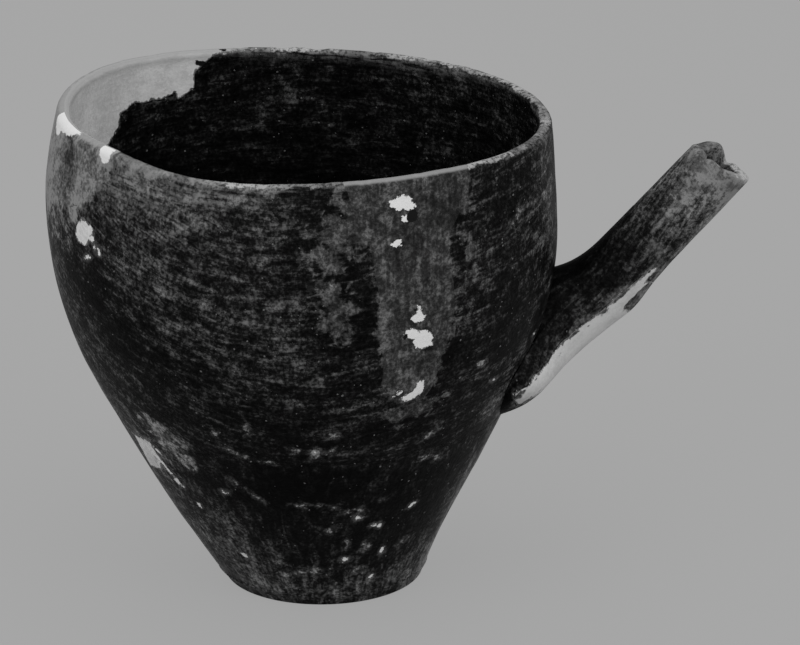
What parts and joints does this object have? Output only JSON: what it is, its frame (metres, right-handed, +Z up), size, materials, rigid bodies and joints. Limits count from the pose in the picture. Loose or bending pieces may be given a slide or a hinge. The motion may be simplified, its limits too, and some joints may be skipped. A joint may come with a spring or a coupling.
{
  "type": "spouted drinking cup",
  "caption": "Hand-built dark burnished clay cup with a rounded belly, narrow flat base, wavy lip and a long tubular spout on one side, mended with plaster fills.",
  "frame": {"origin": "middle of the flat base, on the surface that the cup stands on", "axes": "+Z up through the mouth, +X towards the spout"},
  "size_m": [0.2191, 0.1594, 0.1572],
  "materials": {
    "burnished_clay": "smoke-fired clay, burnished with a pebble to a low gloss, worn matt along the lip",
    "luting_clay": "smoke-fired clay, smoothed by finger, matt",
    "bare_plaster": "untoned gypsum plaster, matt, with fine scraping marks",
    "toned_plaster": "plaster toned grey with thin brushed paint, matt, chipped through to white in places"
  },
  "bodies": {
    "root": {"base_disc": "burnished_clay", "lower_wall": "burnished_clay", "upper_wall": "burnished_clay", "spout_tube": "burnished_clay", "spout_collar": "luting_clay", "spout_skim": "bare_plaster", "rim_fill": "bare_plaster", "front_fill": "toned_plaster", "side_plug": "bare_plaster", "thumb_plug": "toned_plaster", "low_fill": "bare_plaster"}
  },
  "joints": []
}
